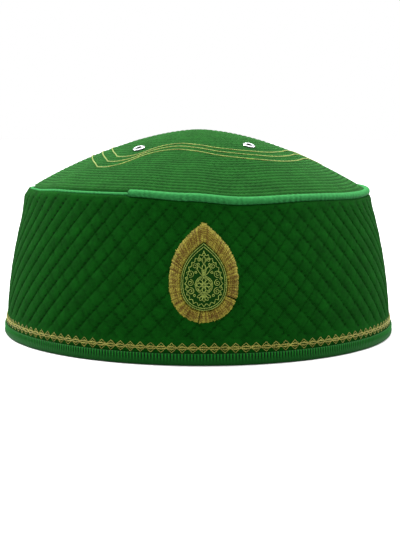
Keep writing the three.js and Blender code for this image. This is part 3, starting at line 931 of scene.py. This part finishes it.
# %% The satin-stitched border
SATIN_THREADS = 236
SATIN_THREAD = 0.27 * MM
SATIN_POINTS = 8
RAGGED = 0.15 * MM
DOME = 1.05 * MM
DIVE = 0.15 * MM
LIFT_SPREAD = 0.09 * MM
MISSED = 0.012
outer_line = drop(PATCH_WIDTH, PATCH_HEIGHT, 0, SATIN_THREADS)
inner_line = drop(INNER_WIDTH, INNER_HEIGHT, INNER_MIDDLE, SATIN_THREADS)
inwards = unit(inner_line - outer_line)
threads_from = outer_line + inwards * rng.normal(0, RAGGED, (SATIN_THREADS, 1))
threads_to = inner_line + inwards * rng.normal(0, RAGGED, (SATIN_THREADS, 1))
share = np.linspace(0, 1, SATIN_POINTS)
flat = threads_from[:, None] + (threads_to - threads_from)[:, None] * share[:, None]
domed = DOME * np.sin(math.pi * share) ** 0.4 - DIVE
lifted = domed + rng.normal(0, LIFT_SPREAD, (SATIN_THREADS, 1))
place, way = on_patch(flat, lifted)

# The threads' ends at both edges are painted paler, as painted highlight where they turn over, and their
# middles darker; no two took the dye alike, so each also differs at random
dye_and_edge_highlight = rng.uniform(-0.3, 0.3, (SATIN_THREADS, 1)) + 0.6 * np.sin(math.pi * share) - 0.31
kept = rng.random(SATIN_THREADS) > MISSED
thickness = SATIN_THREAD * rng.uniform(0.6, 1.15, (SATIN_THREADS, 1))[kept]
border = strands("patch_border", place[kept], way[kept], thickness, gold_thread,
                 values={"shade": dye_and_edge_highlight[kept]})
dress(border, "gold_thread", "medallion_border")

# %% [markdown]
# The pattern inside is drawn with a thinner, greener thread. It is built up from a few forms that
# return in many old embroideries: petals round a centre, rings, scrolls and scallops. Each form is
# a function that gives flat points, so the whole pattern is a short list of places. The left half
# is always the right half mirrored.

# %% The forms of the pattern
TRACERY_THREAD = 0.16 * MM


def about(middle, turn, reach):
    """Flat places round a middle."""
    return np.stack([middle[0] + reach * np.sin(turn), middle[1] + reach * np.cos(turn)], -1)


def ring(middle, radius, count):
    return about(middle, round_steps(count), radius), True


def petal(middle, turn, length, width):
    share = round_steps(24)
    along = length * (1 - np.cos(share)) / 2
    across = width / 2 * np.sin(share) * (0.6 + 0.4 * (1 - np.cos(share)) / 2)
    x = middle[0] + along * math.sin(turn) + across * math.cos(turn)
    y = middle[1] + along * math.cos(turn) - across * math.sin(turn)
    return np.stack([x, y], -1), True


def scroll(middle, start, turns, radius, hand):
    share = np.linspace(0, 1, 30)
    turn = start + hand * turns * math.tau * share
    return about(middle, turn, radius * (1 - 0.85 * share)), False


def scallops(size, count):
    line = drop(INNER_WIDTH * size, INNER_HEIGHT * size, 0, 12 * count)
    dip = np.abs(np.sin(np.arange(12 * count) * math.pi / 12))[:, None]
    return line * (1 - 0.1 * dip) + (0, INNER_MIDDLE - 0.9 * MM), True


def both_sides(shape):
    line, closed = shape
    return [(line, closed), (line * (-1, 1), closed)]


# %% The pattern inside the border
heart = INNER_MIDDLE - 3.4 * MM
tracery = [(drop(INNER_WIDTH * size, INNER_HEIGHT * size, INNER_MIDDLE - low * MM, 90), True)
           for size, low in ((0.95, 0.2), (0.88, 0.4))]
tracery += [scallops(0.8, 26)]

# Petals round the heart, three leaves and a bud above it, and a fan below: height above the heart,
# length and width in mm, and the turns in degrees
for up, length, width, turns in ((0, 2.9, 1.7, range(0, 360, 45)), (3.7, 4.6, 1.9, (-34, 0, 34)),
                                 (4.2, 2.4, 0.9, (-17, 17)), (8.6, 2.8, 1.5, [0]),
                                 (-3.7, 3.0, 1.3, (115, 147, 180, 213, 245))):
    tracery += [petal((0, heart + up * MM), math.radians(turn), length * MM, width * MM)
                for turn in turns]
tracery += [ring((0, heart), radius * MM, 36) for radius in (0.7, 3.1, 3.6)]
tracery += [ring((0, heart + 12.3 * MM), 0.6 * MM, 14)]

# Scrolls at both sides: place from the heart in mm, start in degrees, radius in mm, and hand
for x, y, start, radius, hand in ((3.6, 7.6, 200, 1.3, 1), (5.5, 4.6, 160, 1.5, 1), (5.6, 0.9, 0, 1.4, -1),
                                  (5.4, -2.5, 20, 1.5, -1), (1.9, 10.2, 230, 0.9, 1)):
    place = (x * MM, heart + y * MM)
    tracery += both_sides(scroll(place, math.radians(start), 1.6, radius * MM, hand))
for x, y in ((3.3, 5.2), (7.0, 2.7), (6.9, -0.8), (3.9, -4.2), (2.3, 8.4)):
    tracery += both_sides(ring((x * MM, heart + y * MM), 0.42 * MM, 12))

tracery_pieces = []
for number, (line, closed) in enumerate(tracery):
    place, way = on_patch(line, 1.0 * MM)
    tracery_pieces.append(strands(f"tracery_{number}", place[None], way[None], TRACERY_THREAD,
                                  straw_thread, loop=closed))
with bpy.context.temp_override(active_object=tracery_pieces[0], selected_editable_objects=tracery_pieces):
    bpy.ops.object.join()
tracery_piece = tracery_pieces[0]
tracery_piece.name = "patch_tracery"
dress(tracery_piece, "gold_thread")

# %% [markdown]
# The patch's ground is a plain solid already at its place, so it stays and only gets a finish: the
# same cloth, painted darker as painted shade, because it sits low between raised threads.

# %% The ground of the patch
ground = brushed_polyester("brushed_polyester_ground", "#0b2907", "#031204", 0.03, "#2f9c2b")
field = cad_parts["medallion_field"]
field.data.materials.clear()
field.data.materials.append(ground)

# %% [markdown]
# The eyelets are nickel-plated brass: a rolled rim outside, a barrel through the cloth and a
# washer inside. Plating is a clean bright metal, so it is fully metallic with a low roughness.
# Each eyelet is a turned profile, set square to the crown where its solid lies.

# %% Metal: nickel plate
# Rub marks are finer than 0.1 mm. They are drawn about one to the mm.
nickel, tree, shader = new_finish("nickel_plated_brass")
place = node(tree, "TexCoord")
rub = node(tree, "TexNoise", {"Vector": place.outputs["Object"], "Scale": 0.9 / MM, "Detail": 4.0})
rough = node(tree, "MapRange", {"Value": rub, "To Min": 0.16, "To Max": 0.36})
# Painted shade darkens the metal in the eyelet's mouth, and random rub marks darken it a little all over.
mouth = node(tree, "Attribute", attribute_name="groove")
rub_and_mouth_shade = node(tree, "Math", {0: rub, 1: 0.3, 2: mouth.outputs["Fac"]},
               "MULTIPLY_ADD", use_clamp=True)
tone = node(tree, "Mix", {0: rub_and_mouth_shade, 6: linear("#c3c6c8"), 7: linear("#2c2e31")}, data_type="RGBA")
plug(shader, {"Base Color": tone.outputs[2], "Roughness": rough, "Metallic": 1.0})

# %% The eyelets
EYELET_SIDES = 40

# Half a section, from the mouth inside the cap round to the mouth outside: radius, height above
# the crown's face, both in mm, and how much painted shade darkens it, most in the mouth
hole, barrel, rim = 1.4, 1.9, 2.9
gap = CLEARANCE / MM
lining = -(CROWN_WALL + CLEARANCE) / MM
EYELET_SECTION = np.array([
    (hole, lining - 0.6, 0.7), (rim, lining - 0.6, 0.1), (rim, lining, 0.1), (barrel, lining, 0.5),
    (barrel, gap, 0.5), (rim, gap, 0.2), (rim + 0.02, gap + 0.15, 0), (rim - 0.2, gap + 0.4, 0),
    (rim - 0.5, gap + 0.55, 0), (rim - 0.8, gap + 0.45, 0.3), (hole + 0.35, gap + 0.1, 0.85),
    (hole + 0.1, -0.4, 0.95), (hole, -1.2, 1), (hole, lining - 0.6, 0.7),
]) * (MM, MM, 1)
turns = round_steps(EYELET_SIDES)
reach, height, mouth_shade = EYELET_SECTION.T[..., None, None]
for number, (seat, way) in enumerate(zip(eyelet_seats, eyelet_ways), 1):
    across = unit(np.cross(way, (0, 0, 1)))
    up = np.cross(across, way)
    spokes = np.cos(turns)[:, None] * across + np.sin(turns)[:, None] * up
    place = seat + reach * spokes + height * way
    eyelet = grid_piece(f"eyelet_rolled_{number}", place, np.append(turns, math.tau) * rim * MM,
                        np.arange(len(place))[:, None] * 0.5 * MM, nickel,
                        {"groove": np.repeat(mouth_shade, EYELET_SIDES)})
    dress(eyelet, "eyelet_metal", f"eyelet_{number}")

# %% [markdown]
# Last come the floor, the light and the camera. A studio would stand the cap on pale paper in a
# white room that lights it evenly. A wide soft source overhead makes the crown bright and leaves
# the band darker. Two softboxes stand high at the sides, a little behind, so their light rakes
# along the band and shows the grooves. Colour handling is plain, so white paper stays white.

# %% Floor and light
# Paper's fibres are about a mm long, and drawn at three times that
paper, tree, shader = new_finish("white_paper")
place = node(tree, "TexCoord")
fibre = node(tree, "TexNoise", {"Vector": place.outputs["Object"], "Scale": 0.3 / MM, "Detail": 3.0})
tone = node(tree, "Mix", {0: fibre, 6: linear("#c4c4c4"), 7: linear("#bcbcbc")}, data_type="RGBA")
plug(shader, {"Base Color": tone.outputs[2], "Roughness": 0.9})

bpy.ops.mesh.primitive_plane_add(size=12)
floor = bpy.context.active_object
floor.name = "paper_floor"
floor.data.materials.append(paper)

world = bpy.data.worlds.new("white_room")
bpy.context.scene.world = world
world.use_nodes = True
plug(world.node_tree.nodes["Background"], {"Color": (1, 1, 1, 1), "Strength": 1.0})

SOFTBOX_SIDE = 0.4
SOFTBOX_AIM = Vector((0, 0, 0.05))
for name, side, power in (("high_left", -1, 23), ("high_right", 1, 15)):
    lamp = bpy.data.lights.new(name, "AREA")
    lamp.shape = "SQUARE"
    lamp.size = SOFTBOX_SIDE
    lamp.energy = power
    softbox = add_object(name, lamp)
    softbox.location = (0.9 * side, 0.3, 0.8)
    softbox.rotation_euler = (SOFTBOX_AIM - softbox.location).to_track_quat("-Z", "Y").to_euler()

overhead = bpy.data.lights.new("overhead", "SUN")
overhead.energy = 6
overhead.angle = math.radians(70)
add_object("overhead", overhead).rotation_euler = (math.radians(-12), 0, 0)
bpy.context.scene.view_settings.view_transform = "Standard"

# %% The camera
EYE_DISTANCE = 0.562
EYE_HEIGHT = 0.1001
TILT_DOWN = 7.11
ROLL = 0.21
FOCAL_PIXELS = 1145
PHOTO_HEIGHT = 533
PHOTO_MIDDLE_X = 200
CAP_MIDDLE_X = 199.1
SENSOR = 36

lens = bpy.data.cameras.new("camera")
lens.sensor_fit = "VERTICAL"
lens.sensor_height = SENSOR
lens.lens = FOCAL_PIXELS / PHOTO_HEIGHT * SENSOR
lens.shift_x = (PHOTO_MIDDLE_X - CAP_MIDDLE_X) / PHOTO_HEIGHT
camera = add_object("camera", lens)
camera.location = (0, -EYE_DISTANCE, EYE_HEIGHT)
camera.rotation_euler = (math.radians(90 - TILT_DOWN), math.radians(-ROLL), 0)
bpy.context.scene.camera = camera
